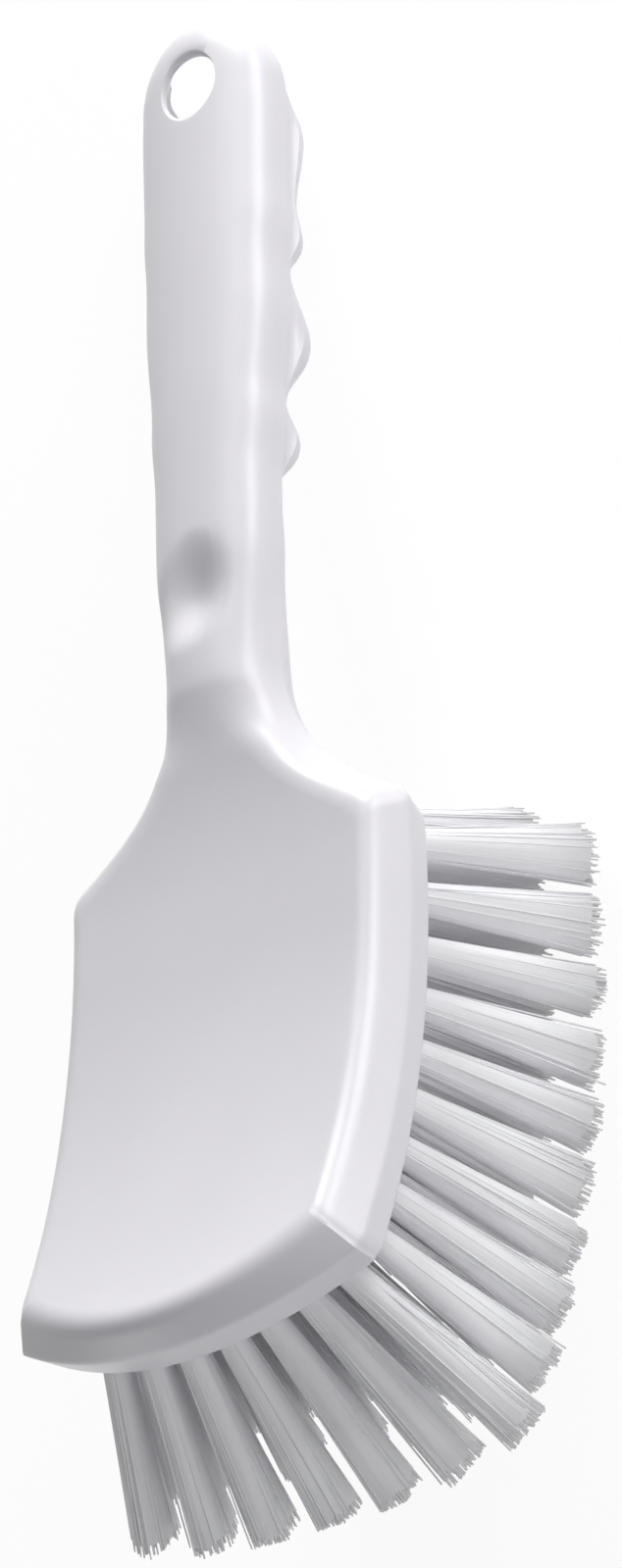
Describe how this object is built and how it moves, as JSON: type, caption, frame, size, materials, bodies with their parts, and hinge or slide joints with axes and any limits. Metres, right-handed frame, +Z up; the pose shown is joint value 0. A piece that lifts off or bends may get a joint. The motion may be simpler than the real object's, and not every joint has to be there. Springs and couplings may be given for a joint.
{
  "type": "cleaning brush",
  "caption": "Short-handled scrubbing brush: hollow-backed block, bar handle with finger grips and hang hole, fanned stiff bristle tufts.",
  "frame": {"origin": "middle of the bounding box's bottom face, on the table that the brush lies on", "axes": "+X along the brush from the hang hole to the block's tip, +Y to the right of the block seen from its back, +Z up"},
  "size_m": [0.2872, 0.0912, 0.1021],
  "materials": {
    "polypropylene": "glossy injection-moulded white polypropylene",
    "filament": "translucent natural white polyester filament"
  },
  "bodies": {
    "root": {"handle_block": "polypropylene", "tuft_row_00": "filament", "tuft_row_01": "filament", "tuft_row_02": "filament", "tuft_row_03": "filament", "tuft_row_04": "filament", "tuft_row_05": "filament", "tuft_row_06": "filament", "tuft_row_07": "filament", "tuft_row_08": "filament", "tuft_row_09": "filament", "tuft_row_10": "filament"}
  },
  "joints": []
}
